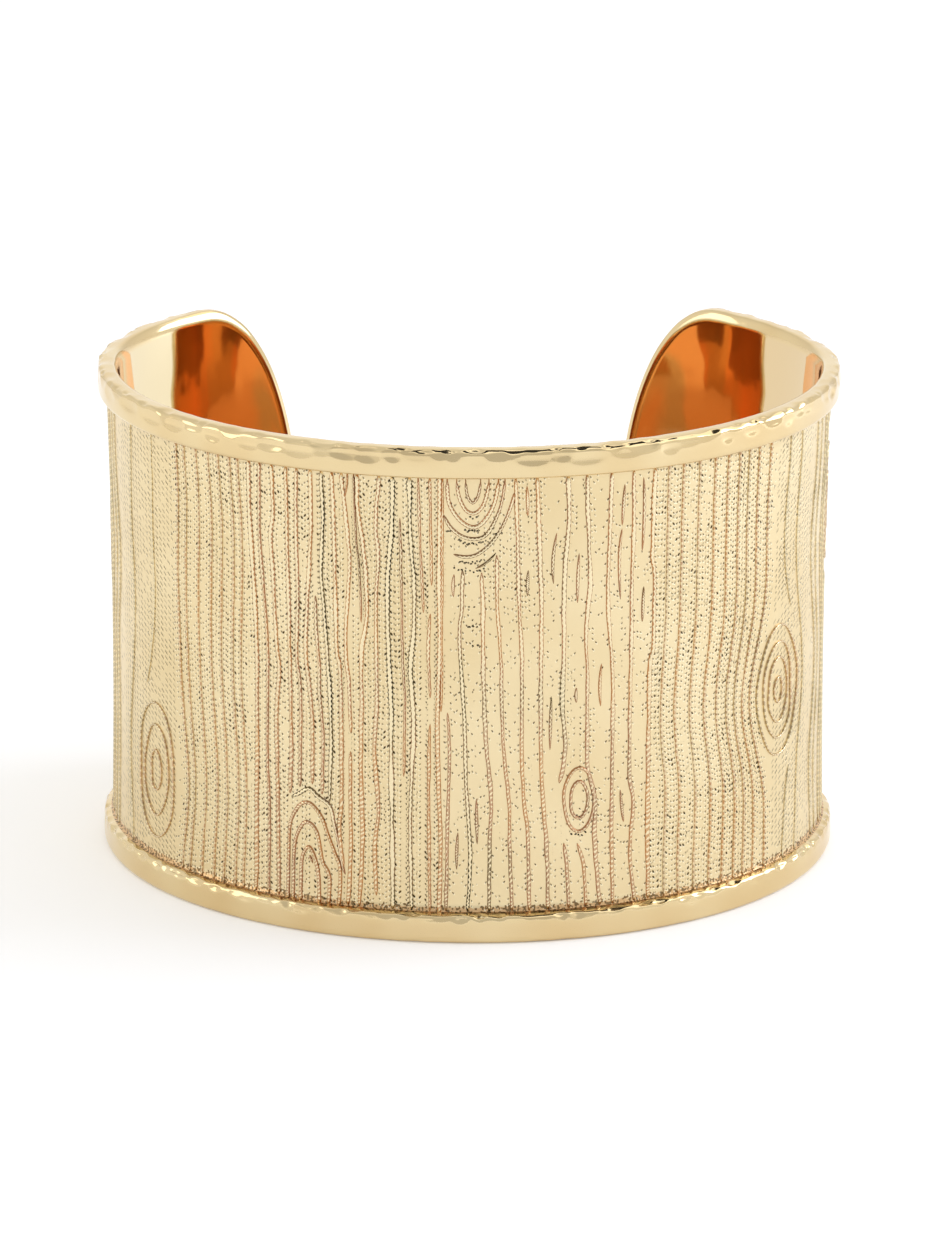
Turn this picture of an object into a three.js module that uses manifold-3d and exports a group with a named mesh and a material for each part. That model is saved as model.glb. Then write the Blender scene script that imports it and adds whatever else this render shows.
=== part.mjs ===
// A wide open cuff bracelet: one cast brass wall bent to an oval, with a raised border all round
// and a wood grain of raised lines and knots on the sunk band. It stands on its lower edge, with
// the wrist along Z, the grain's front towards -Y and the opening towards +Y.
import * as THREE from 'three';
import { mergeVertices } from 'three/addons/utils/BufferGeometryUtils.js';
import Module from 'manifold-3d';

const wasm = await Module();
wasm.setup();

// Oval, seen along the wrist, to the outside of the border
const halfWidth = 32;
const frontDepth = 28.8;
const backDepth = 25.4;
const frontFullness = 2.03;
const backFullness = 1.9;

// Wall
const cuffHeight = 43;
const openingLength = 31.3;
const openingOffset = -1.5;
const endRoundLength = 10.3;
const endFullness = 2.15;
const waist = 0.3;
const borderThickness = 1.8;
const borderWidth = 2.6;
const bandThickness = 0.95;
const outerEdgeRound = 0.6;
const innerEdgeRound = 0.5;
const innerEdgeInset = 1.2;

// Raised grain
const grainPitch = 2.5;
const grainWidth = 0.62;
const grainHeight = 0.26;
const grainSway = 0.34;
const grainWave = 17;
const secondWave = 21;
const secondShare = 0.45;
const boardLineWidth = 0.8;
const knotLineWidth = 0.66;
const knotLineHeight = 0.34;
const grainRoot = 0.22;
const grainLap = 0.7;
const knotParting = 1.12;
const knotCore = 0.62;
const archPoint = 1.25;
const boardPhase = 1.7;
const linePhase = 2.4;

// Fineness of the facets
const stationPitch = 3.4;
const endStations = 8;
const wallRows = 3;
const bandRows = 3;
const grainSteps = 7;
const ringSteps = 14;
const arcSteps = 9;

// Boards side by side, each with its own grain. from and to are shares of the wall's half length,
// measured from the middle of the front; pitch and sway are shares of the grain's own.
const boards = [
  { from: -0.985, to: -0.735, pitch: 1.0, sway: 0.8 },
  { from: -0.735, to: -0.492, pitch: 1.1, sway: 1.0 },
  { from: -0.492, to: -0.24, pitch: 1.0, sway: 0.9 },
  { from: -0.24, to: -0.023, pitch: 0.95, sway: 1.0 },
  { from: -0.023, to: 0.219, pitch: 1.0, sway: 1.2 },
  { from: 0.219, to: 0.46, pitch: 1.0, sway: 0.5 },
  { from: 0.46, to: 0.71, pitch: 1.1, sway: 1.0 },
  { from: 0.71, to: 0.985, pitch: 1.0, sway: 0.8 },
];

// Knots. along is a share of the wall's half length and up of the cuff's height; wide and tall are
// the outermost line's half width and half height as shares of the cuff's height; rings lists the
// lines as shares of the outermost one, and open says which edge a knot is cut by.
const knots = [
  { along: 0.134, up: 0.281, wide: 0.031, tall: 0.065, rings: [1, 0.58], open: 'none' },
  { along: 0.419, up: 0.417, wide: 0.076, tall: 0.135, rings: [1, 0.66, 0.3], open: 'none' },
  { along: -0.408, up: 0.24, wide: 0.07, tall: 0.14, rings: [1, 0.7, 0.36], open: 'none' },
  { along: 0.0125, up: 0.937, wide: 0.072, tall: 0.175, rings: [1, 0.79, 0.58, 0.3], open: 'top' },
  { along: -0.172, up: 0.063, wide: 0.064, tall: 0.222, rings: [1, 0.71, 0.42], open: 'bottom' },
  { along: -0.62, up: 0.62, wide: 0.05, tall: 0.11, rings: [1, 0.5], open: 'none' },
  { along: 0.6, up: 0.72, wide: 0.055, tall: 0.12, rings: [1, 0.5], open: 'none' },
];

const brass = { color: 0xe6c98c, roughness: 0.24, metalness: 1 };

const middleHeight = cuffHeight / 2;

// One side of the oval, from the middle of the front round to the middle of the back
class WristOval extends THREE.Curve {
  getPoint(t, target = new THREE.Vector3()) {
    const front = t < 0.5;
    const turn = (front ? t : 1 - t) * Math.PI;
    const power = 2 / (front ? frontFullness : backFullness);
    const across = halfWidth * Math.sin(turn) ** power;
    const deep = Math.max(0, Math.cos(turn)) ** power;
    return target.set(across, front ? -frontDepth * deep : backDepth * deep, 0);
  }
}

const oval = new WristOval();
oval.arcLengthDivisions = 2000;
const ovalSide = oval.getLength();
const halfLength = ovalSide - openingLength / 2;
const straightHalf = halfLength - endRoundLength;

// The opening sits a little to one side of the back, so the strip's own middle lies that far the
// other way from the middle of the front
const stripMiddle = -openingOffset;

// A place on the wall: along from the middle of the front, up from the lower edge, and out from
// the inner face
function wallPoint(along, up, out) {
  const share = Math.min(Math.abs(along) / ovalSide, 1);
  const side = along < 0 ? -1 : 1;
  const base = oval.getPointAt(share);
  const run = oval.getTangentAt(share);
  const hollow = waist * (1 - (up / middleHeight - 1) ** 2);
  const shift = out - borderThickness - hollow;
  return new THREE.Vector3(side * (base.x + run.y * shift), base.y - run.x * shift, up);
}

// Stations along the wall: even steps between the rounded ends, then steps of the end's own curve
function stations() {
  const steps = Math.round((2 * straightHalf) / stationPitch);
  const list = [];
  const turnOf = (i) => (i / endStations) * (Math.PI / 2);
  for (let i = endStations - 1; i >= 1; i -= 1) list.push({ side: -1, turn: turnOf(i) });
  for (let i = 0; i <= steps; i += 1) list.push({ along: straightHalf * ((2 * i) / steps - 1) });
  for (let i = 1; i < endStations; i += 1) list.push({ side: 1, turn: turnOf(i) });
  return list;
}

// The outline of the wall laid flat, drawn in by an inset: its place along and its half height
function outline(station, inset) {
  const half = middleHeight - inset;
  if (station.turn === undefined) return { along: stripMiddle + station.along, half };
  const reach = (endRoundLength - inset) * Math.sin(station.turn) ** (2 / endFullness);
  return {
    along: stripMiddle + station.side * (straightHalf + reach),
    half: half * Math.cos(station.turn) ** (2 / endFullness),
  };
}

// A closed body from points and triangles
function bodyFrom(points, triangles) {
  const geometry = new THREE.BufferGeometry();
  geometry.setAttribute('position', new THREE.Float32BufferAttribute(points.flatMap((p) => p.toArray()), 3));
  geometry.setIndex(triangles);
  return geometry;
}

// A bent plate with rounded ends. edge runs from the inner face round to the outer face, as pairs
// of an inset from the outline and a place out from the wall's inner face.
function bentPlate(edge, rows) {
  const points = [];
  const triangles = [];
  const last = edge.length - 1;
  const rings = stations().map((station) => {
    const ring = [];
    const put = ([inset, out], level) => {
      const { along, half } = outline(station, inset);
      ring.push(points.length);
      points.push(wallPoint(along, middleHeight + half * level, out));
    };
    edge.forEach((pair) => put(pair, 1));
    for (let row = 1; row < rows; row += 1) put(edge[last], 1 - (2 * row) / rows);
    [...edge].reverse().forEach((pair) => put(pair, -1));
    for (let row = 1; row < rows; row += 1) put(edge[0], (2 * row) / rows - 1);
    return ring;
  });
  for (let i = 1; i < rings.length; i += 1) {
    const before = rings[i - 1];
    const after = rings[i];
    for (let k = 0; k < after.length; k += 1) {
      const next = (k + 1) % after.length;
      triangles.push(before[k], before[next], after[next], before[k], after[next], after[k]);
    }
  }
  closeEnd(rings[0], stations()[0], false);
  closeEnd(rings[rings.length - 1], stations().at(-1), true);
  return bodyFrom(points, triangles);

  // The tip of an end, as a small grid between the ring's upper and lower halves
  function closeEnd(ring, station, forward) {
    const grid = edge.map(([inset, out], column) => {
      const { along, half } = outline(station, inset);
      const cells = [];
      for (let row = 0; row <= rows; row += 1) {
        if (row === 0) cells.push(ring[column]);
        else if (row === rows) cells.push(ring[2 * last + rows - column]);
        else if (column === last) cells.push(ring[last + row]);
        else if (column === 0) cells.push(ring[ring.length - row]);
        else {
          cells.push(points.length);
          points.push(wallPoint(along, middleHeight + half * (1 - (2 * row) / rows), out));
        }
      }
      return cells;
    });
    for (let column = 0; column < last; column += 1) {
      for (let row = 0; row < rows; row += 1) {
        const [a, b] = [grid[column][row], grid[column + 1][row]];
        const [c, d] = [grid[column + 1][row + 1], grid[column][row + 1]];
        if (forward) triangles.push(a, b, c, a, c, d);
        else triangles.push(a, c, b, a, d, c);
      }
    }
  }
}

// A raised line along a path on the band, with a three-sided section sunk into the wall
function raisedLine(path, width, height, closed) {
  const points = [];
  const triangles = [];
  const foot = bandThickness - grainRoot;
  const crest = bandThickness + height;
  const spread = (width / 2) * ((height + grainRoot) / height);
  path.forEach((place, i) => {
    const before = path[closed ? (i + path.length - 1) % path.length : Math.max(i - 1, 0)];
    const after = path[closed ? (i + 1) % path.length : Math.min(i + 1, path.length - 1)];
    const run = after.clone().sub(before).normalize().multiplyScalar(spread);
    points.push(wallPoint(place.x - run.y, place.y + run.x, foot));
    points.push(wallPoint(place.x + run.y, place.y - run.x, foot));
    points.push(wallPoint(place.x, place.y, crest));
  });
  const spans = closed ? path.length : path.length - 1;
  for (let i = 0; i < spans; i += 1) {
    const here = i * 3;
    const there = ((i + 1) % path.length) * 3;
    for (let k = 0; k < 3; k += 1) {
      const next = (k + 1) % 3;
      triangles.push(here + k, there + k, there + next, here + k, there + next, here + next);
    }
  }
  const end = (path.length - 1) * 3;
  if (!closed) triangles.push(0, 1, 2, end, end + 2, end + 1);
  return bodyFrom(points, triangles);
}

// Half the height of the sunk band at a place along the wall
function bandHalf(along) {
  const past = (Math.abs(along - stripMiddle) - straightHalf) / (endRoundLength - borderWidth);
  if (past <= 0) return middleHeight - borderWidth;
  if (past >= 1) return 0;
  return (middleHeight - borderWidth) * (1 - past ** endFullness) ** (1 / endFullness);
}

const placedKnots = knots.map((knot) => ({
  ...knot,
  along: knot.along * halfLength,
  up: knot.open === 'none' ? knot.up * cuffHeight : openEdge(knot),
  wide: knot.wide * cuffHeight,
  tall: knot.tall * cuffHeight,
}));

function openEdge(knot) {
  return knot.open === 'top' ? cuffHeight - borderWidth : borderWidth;
}

// The grain parts round each knot and closes again above and below it. A line that strays stays on
// its own side of the knot.
function flowRound(along, drift, up) {
  let moved = along + drift;
  for (const knot of placedKnots) {
    const side = along < knot.along ? -1 : 1;
    const off = Math.max(0, side * (moved - knot.along));
    const nearness = Math.exp(-(((up - knot.up) / knot.tall) ** 2));
    moved = knot.along + side * Math.hypot(off, knot.wide * knotParting * Math.sqrt(nearness));
  }
  return moved;
}

// How far a line of grain strays from its place, as a share of its sway
function stray(up, phase) {
  const wave = Math.sin((up / grainWave) * 2 * Math.PI + phase);
  const second = Math.sin((up / secondWave) * 2 * Math.PI + 3 * phase);
  return (wave + secondShare * second) / (1 + secondShare);
}

// Whether a line that starts at this place would run through the middle of a knot
function meetsKnot(along, up) {
  return placedKnots.some((knot) => (
    Math.abs(along - knot.along) < knot.wide * knotCore
    && Math.abs(up - knot.up) < knot.tall * knotParting
  ));
}

// One line of grain up the band, as the stretches that no knot interrupts
function grainPaths(along, sway, phase) {
  const half = bandHalf(along);
  const low = middleHeight - half - grainLap;
  const high = middleHeight + half + grainLap;
  const paths = [[]];
  for (let i = 0; i <= grainSteps; i += 1) {
    const up = low + ((high - low) * i) / grainSteps;
    if (meetsKnot(along, up)) paths.push([]);
    else paths.at(-1).push(new THREE.Vector2(flowRound(along, sway * stray(up, phase), up), up));
  }
  return paths.filter((path) => path.length > 1);
}

// The lines of a knot: whole rings, or arcs that run into the border
function knotPaths(knot) {
  return knot.rings.map((share) => {
    const whole = knot.open === 'none';
    const steps = whole ? ringSteps : arcSteps;
    const towards = knot.open === 'top' ? -1 : 1;
    const path = [];
    for (let i = 0; i < (whole ? steps : steps + 1); i += 1) {
      const turn = (i / steps) * (whole ? 2 : 1) * Math.PI;
      const reach = knot.open === 'bottom' ? Math.sin(turn) ** archPoint : Math.sin(turn);
      const lap = whole ? 0 : grainLap * (1 - Math.abs(reach));
      path.push(new THREE.Vector2(
        knot.along + knot.wide * share * Math.cos(turn),
        knot.up + towards * (knot.tall * share * reach - lap),
      ));
    }
    return { path, closed: whole };
  });
}

// Every raised line of the band
function grainBodies() {
  const bodies = [];
  boards.forEach((board, number) => {
    const from = board.from * halfLength;
    const to = board.to * halfLength;
    const gaps = Math.max(1, Math.round((to - from) / (grainPitch * board.pitch)));
    for (let i = number === 0 ? 0 : 1; i <= gaps; i += 1) {
      const along = from + ((to - from) * i) / gaps;
      const joint = i % gaps === 0;
      const sway = joint ? 0 : grainSway * board.sway;
      if (bandHalf(along) < grainLap) continue;
      for (const path of grainPaths(along, sway, number * boardPhase + i * linePhase)) {
        bodies.push(raisedLine(path, joint ? boardLineWidth : grainWidth, grainHeight, false));
      }
    }
  });
  for (const knot of placedKnots) {
    for (const { path, closed } of knotPaths(knot)) {
      bodies.push(raisedLine(path, knotLineWidth, knotLineHeight, closed));
    }
  }
  return bodies;
}

// A solid of the joining library from a closed geometry, and the way back
function solidOf(geometry) {
  const merged = mergeVertices(geometry, 1e-5);
  return new wasm.Manifold(new wasm.Mesh({
    numProp: 3,
    vertProperties: Float32Array.from(merged.attributes.position.array),
    triVerts: Uint32Array.from(merged.index.array),
  }));
}

function geometryOf(solid) {
  const mesh = solid.getMesh();
  const geometry = new THREE.BufferGeometry();
  geometry.setAttribute('position', new THREE.BufferAttribute(Float32Array.from(mesh.vertProperties), 3));
  geometry.setIndex([...mesh.triVerts]);
  return geometry;
}

// The whole wall at the border's thickness, its edges rounded
function wallEdge() {
  const soft = Math.SQRT1_2;
  return [
    [innerEdgeInset, 0],
    [innerEdgeInset * (1 - soft), innerEdgeRound * (1 - soft)],
    [0, innerEdgeRound],
    [0, borderThickness - outerEdgeRound],
    [outerEdgeRound * (1 - soft), borderThickness - outerEdgeRound * (1 - soft)],
    [outerEdgeRound, borderThickness],
  ];
}

function makeCuff() {
  const wall = solidOf(bentPlate(wallEdge(), wallRows));
  const above = borderThickness + 1;
  const sunk = solidOf(bentPlate([[borderWidth, bandThickness], [borderWidth, above]], bandRows));
  const cuff = wasm.Manifold.union([wall.subtract(sunk), ...grainBodies().map(solidOf)]);
  const geometry = geometryOf(cuff);
  geometry.computeBoundingBox();
  const { min, max } = geometry.boundingBox;
  const mesh = new THREE.Mesh(geometry, new THREE.MeshStandardMaterial(brass));
  mesh.name = 'cuff';
  mesh.position.y = -(min.y + max.y) / 2;
  return mesh;
}

const bracelet = new THREE.Group();
bracelet.name = 'cuff_bracelet';
bracelet.add(makeCuff());

export default bracelet;
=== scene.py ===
import math
import random
from bisect import bisect_right

import bmesh
import bpy
from mathutils import Matrix, Vector, noise


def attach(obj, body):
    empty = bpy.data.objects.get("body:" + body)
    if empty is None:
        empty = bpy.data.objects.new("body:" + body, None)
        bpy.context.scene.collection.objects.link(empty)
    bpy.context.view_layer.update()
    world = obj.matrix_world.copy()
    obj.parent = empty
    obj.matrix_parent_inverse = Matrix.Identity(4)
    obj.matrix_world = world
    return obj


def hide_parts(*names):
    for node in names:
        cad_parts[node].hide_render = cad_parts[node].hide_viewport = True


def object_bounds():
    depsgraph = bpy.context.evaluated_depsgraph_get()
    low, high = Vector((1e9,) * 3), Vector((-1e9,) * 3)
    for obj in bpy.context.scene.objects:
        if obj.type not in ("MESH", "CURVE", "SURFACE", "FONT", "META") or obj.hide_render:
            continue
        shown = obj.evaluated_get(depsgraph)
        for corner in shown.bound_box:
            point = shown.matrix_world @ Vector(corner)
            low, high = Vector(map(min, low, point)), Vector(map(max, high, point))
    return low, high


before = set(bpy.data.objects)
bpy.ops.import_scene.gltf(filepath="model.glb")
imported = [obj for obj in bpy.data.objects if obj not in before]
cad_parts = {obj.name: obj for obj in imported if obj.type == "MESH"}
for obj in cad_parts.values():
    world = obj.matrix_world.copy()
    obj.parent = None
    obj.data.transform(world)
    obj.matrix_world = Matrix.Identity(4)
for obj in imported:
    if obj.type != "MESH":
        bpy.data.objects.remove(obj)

cad_low, cad_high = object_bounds()

# Camera. The photograph is taken with a long lens from a little above the cuff, straight onto the
# middle of its front. Lengths are millimetres in the frame's axes, turned by a degree to the cuff.
MM = 0.001
photo_height = 1250
focal_pixels = 5950.6
sensor_long_side = 36.0
camera_distance = 519.5
camera_tilt = math.radians(18.0)
camera_turn = math.radians(-1.193)
camera_roll = math.radians(-0.223)
aim_across = 0.078
aim_up = 18.759
front_depth = 28.8
oval_middle = cad_low.y / MM + front_depth

right = Vector((1, 0, 0))
up_of_view = Vector((0, math.sin(camera_tilt), math.cos(camera_tilt)))
forward = Vector((0, math.cos(camera_tilt), -math.sin(camera_tilt)))
rolled_right = right * math.cos(camera_roll) - up_of_view * math.sin(camera_roll)
rolled_up = right * math.sin(camera_roll) + up_of_view * math.cos(camera_roll)
stand = Vector((aim_across, 0, aim_up)) - forward * camera_distance
turn_back = Matrix.Rotation(-camera_turn, 3, "Z")
camera_axes = Matrix((rolled_right, rolled_up, -forward)).transposed()
camera_data = bpy.data.cameras.new("photo camera")
camera_data.sensor_width = sensor_long_side
camera_data.lens = focal_pixels / photo_height * sensor_long_side
camera_data.clip_start = 0.01
camera = bpy.data.objects.new("photo camera", camera_data)
bpy.context.scene.collection.objects.link(camera)
camera_place = (turn_back @ stand + Vector((0, oval_middle, 0))) * MM
camera.matrix_world = Matrix.Translation(camera_place) @ (turn_back @ camera_axes).to_4x4()
bpy.context.scene.camera = camera
bpy.context.scene.view_settings.view_transform = "Standard"

# Cuff wall. A wide strip of cast brass bent to an oval, with rounded ends, a raised border all
# round that is hammered along its edges, and a sunk band between. Gold plated and polished.
half_width = 32.0
back_depth = 25.4
front_fullness = 2.03
back_fullness = 1.9
cuff_height = 43.0
opening_length = 31.3
opening_offset = -1.5
end_round_length = 10.3
end_fullness = 2.15
waist = 0.3
border_thickness = 1.8
border_width = 2.6
band_thickness = 0.95
middle_height = cuff_height / 2

oval_steps = 4000
oval_table = [(0.0, 0.0, -front_depth)]
for step in range(1, oval_steps + 1):
    t = step / oval_steps
    in_front = t < 0.5
    turn = (t if in_front else 1 - t) * math.pi
    power = 2 / (front_fullness if in_front else back_fullness)
    across = half_width * math.sin(turn) ** power
    deep = max(0.0, math.cos(turn)) ** power
    y = -front_depth * deep if in_front else back_depth * deep
    length, last_x, last_y = oval_table[-1]
    oval_table.append((length + math.hypot(across - last_x, y - last_y), across, y))
oval_lengths = [row[0] for row in oval_table]
oval_side = oval_lengths[-1]
half_length = oval_side - opening_length / 2
straight_half = half_length - end_round_length
# The opening sits a little to the left of the back, so the strip's middle lies as far to the right
strip_middle = -opening_offset


def wall_point(along, up, out):
    """A place on the wall in metres: along from the front, up, and out from the inner face."""
    distance = min(abs(along), oval_side)
    found = min(max(bisect_right(oval_lengths, distance) - 1, 0), oval_steps - 1)
    before, after = oval_table[found], oval_table[found + 1]
    span = after[0] - before[0]
    share = (distance - before[0]) / span
    run_x, run_y = (after[1] - before[1]) / span, (after[2] - before[2]) / span
    base_x = before[1] + (after[1] - before[1]) * share
    base_y = before[2] + (after[2] - before[2]) * share
    hollow = waist * (1 - (up / middle_height - 1) ** 2)
    shift = out - border_thickness - hollow
    side = -1 if along < 0 else 1
    place = Vector((side * (base_x + run_y * shift), base_y - run_x * shift + oval_middle, up))
    return place * MM


def arc(start, end, centre, segments):
    """The places of a quarter round between two corners of the wall's section, both left out."""
    places = []
    for step in range(1, segments):
        turn = step / segments * math.pi / 2
        places.append(tuple(centre[axis] + (start[axis] - centre[axis]) * math.cos(turn)
                            + (end[axis] - centre[axis]) * math.sin(turn) for axis in (0, 1)))
    return places


# The border's section, as pairs of an inset from the edge and a place out from the inner face
inner_inset = 1.2
inner_round = 0.5
outer_round = 0.5
crest_round = 0.3
crest_inset = border_width - 0.12
edge_step = 0.2
edge_steps = 4
face_steps = 10
face_end = crest_inset - crest_round
section = [(inner_inset, 0.0)]
section += arc((inner_inset, 0), (0, inner_round), (inner_inset, inner_round), 5)
section += [(0.0, inner_round + edge_step * k) for k in range(edge_steps)]
section += [(0.0, border_thickness - outer_round)]
edge_row = len(section) + 2
slant_row = len(section) + 1
section += arc((0, border_thickness - outer_round), (outer_round, border_thickness),
               (outer_round, border_thickness - outer_round), 6)
section += [(outer_round + (face_end - outer_round) * k / face_steps, border_thickness)
            for k in range(face_steps + 1)]
crest_row = len(section) + 1
slant_crest_row = len(section) + 2
section += arc((face_end, border_thickness), (crest_inset, border_thickness - crest_round),
               (face_end, border_thickness - crest_round), 5)
section += [(crest_inset, border_thickness - crest_round)]
# The step from the border down to the band: how far past the border's width, and above the band
step_down = [(-0.08, 0.25), (-0.03, 0.07), (0.04, 0.0)]
section += [(border_width + past, band_thickness + above) for past, above in step_down]
band_rows = 50
inner_rows = 10
loop = [(inset, out, 1.0) for inset, out in section]
loop += [(section[-1][0], band_thickness, 1 - 2 * k / band_rows) for k in range(1, band_rows)]
loop += [(inset, out, -1.0) for inset, out in reversed(section)]
loop += [(inner_inset, 0.0, 2 * k / inner_rows - 1) for k in range(1, inner_rows + 1)]
band_from = len(section) - 1
band_to = band_from + band_rows

end_stations = 26
station_pitch = 0.22
straight_stations = round(2 * straight_half / station_pitch)
station_count = straight_stations + 2 * end_stations


def on_outline(column, inset):
    """Where a column of the wall meets its outline drawn in by an inset: along, half height."""
    half = middle_height - inset
    past = end_stations - column
    if column > end_stations + straight_stations:
        past = column - end_stations - straight_stations
    if past <= 0:
        share = (column - end_stations) / straight_stations
        return strip_middle + straight_half * (2 * share - 1), half
    turn = past / end_stations * math.pi / 2
    reach = (end_round_length - inset) * math.sin(turn) ** (2 / end_fullness)
    side = -1 if column < end_stations else 1
    height = half * max(0.0, math.cos(turn)) ** (2 / end_fullness)
    return strip_middle + side * (straight_half + reach), height


# Hammer blows along the upper edge of the cuff and along the crest of its lower border. Each
# leaves a shallow round dent with a crisp rim: where it lies along the wall and across the
# section, its half length, half width and depth.
section_way = [0.0]
for before, after in zip(section, section[1:]):
    section_way.append(section_way[-1] + math.dist(before, after))
longest_blow = 2.1
past_end = 4.0
random.seed(5)


def hammer_blows(middle, spacing, longest, widest, deepest):
    """Blows of a hammer from one end of the cuff to the other, in order."""
    blows = []
    place = -half_length - past_end
    while place < half_length + past_end:
        blows.append((place, middle + random.uniform(-0.35, 0.3) * widest,
                      longest * random.uniform(0.4, 1), widest * random.uniform(0.55, 1),
                      deepest * random.uniform(0.3, 1)))
        place += spacing * random.uniform(0.4, 1.6)
    return blows


def dent_depth(blows, along, way):
    """How deep the hammer went at a place on the border."""
    deep = 0.0
    for k in range(bisect_right(blows, (along - longest_blow,)), len(blows)):
        place, middle, half_long, half_wide, depth = blows[k]
        if place > along + longest_blow:
            break
        reach = ((along - place) / half_long) ** 2 + ((way - middle) / half_wide) ** 2
        deep = max(deep, depth * (1 - reach))
    return deep


face_blows = hammer_blows(section_way[edge_row] + 0.3, spacing=1.8, longest=longest_blow,
                          widest=1.05, deepest=0.26)
slant_blows = hammer_blows(section_way[slant_row], spacing=1.5, longest=1.1, widest=0.42,
                           deepest=0.22)
crest_blows = hammer_blows(section_way[crest_row] - 0.1, spacing=1.6, longest=1.5, widest=0.55,
                           deepest=0.1)
crest_slant_blows = hammer_blows(section_way[slant_crest_row] - 0.06, spacing=1.7, longest=1.1,
                                 widest=0.42, deepest=0.28)
blows_of_edge = {1: (face_blows, slant_blows), -1: (crest_blows, crest_slant_blows)}

wall = bmesh.new()
wall_layers = {name: wall.verts.layers.float.new(name)
               for name in ("lane", "gap", "along", "up", "dots", "hatch", "inside", "deep", "crease")}
made = bmesh.ops.create_grid(wall, x_segments=station_count, y_segments=len(loop) - 1, size=1.0)

# Grain of the band. Boards lie side by side, each with its own lines: where they run, how far
# they sway, and how thick the punched dots and the short cuts lie between them. Cast in the brass.
grain_wave = 17.0
second_wave = 21.0
second_share = 0.45
knot_parting = 1.12
knot_core = 0.62
line_step = 0.42
random.seed(11)


def evenly(start, end, pitch, unevenness):
    """Line places from one board edge to the next, both left out, set a little unevenly."""
    gaps = max(1, round((end - start) / pitch))
    return [start + (end - start) * (k + random.uniform(-unevenness, unevenness)) / gaps
            for k in range(1, gaps)]


boards = [
    dict(start=-76.0, end=-66.5, lines=evenly(-76.0, -66.5, 1.5, 0.2), sway=0.3, dots=0.5, hatch=0.7),
    dict(start=-66.5, end=-56.7, lines=evenly(-66.5, -56.7, 1.2, 0.2), sway=0.3, dots=0.8, hatch=0.0),
    dict(start=-56.7, end=-38.0, lines=evenly(-56.7, -38.0, 1.8, 0.25), sway=0.4, dots=0.4, hatch=0.6),
    dict(start=-38.0, end=-28.4, lines=evenly(-38.0, -28.4, 3.2, 0.3), sway=0.3, dots=0.2, hatch=1.2),
    dict(start=-28.4, end=-19.3, lines=[-27.7, -26.6, -25.0, -23.5, -22.3, -21.0, -20.1],
         sway=0.2, dots=0.85, hatch=0.0),
    dict(start=-19.3, end=-1.83, lines=[], sway=0.0, dots=0.95, hatch=0.0),
    dict(start=-1.83, end=16.9, lines=[], sway=0.0, dots=0.35, hatch=0.0),
    dict(start=16.9, end=31.4, lines=[18.35, 19.8, 21.5, 23.2, 24.7, 26.1, 27.3, 28.6, 30.2],
         sway=0.13, dots=1.0, hatch=0.1),
    dict(start=31.4, end=38.0, lines=evenly(31.4, 38.0, 2.2, 0.2), sway=0.3, dots=0.4, hatch=1.1),
    dict(start=38.0, end=54.8, lines=evenly(38.0, 54.8, 1.6, 0.25), sway=0.4, dots=0.5, hatch=0.5),
    dict(start=54.8, end=66.0, lines=evenly(54.8, 66.0, 1.2, 0.2), sway=0.3, dots=0.8, hatch=0.0),
    dict(start=66.0, end=76.0, lines=evenly(66.0, 76.0, 1.5, 0.2), sway=0.3, dots=0.5, hatch=0.7),
]
joints = [-76.0, -56.7, -1.83, 54.8, 76.0]

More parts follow.
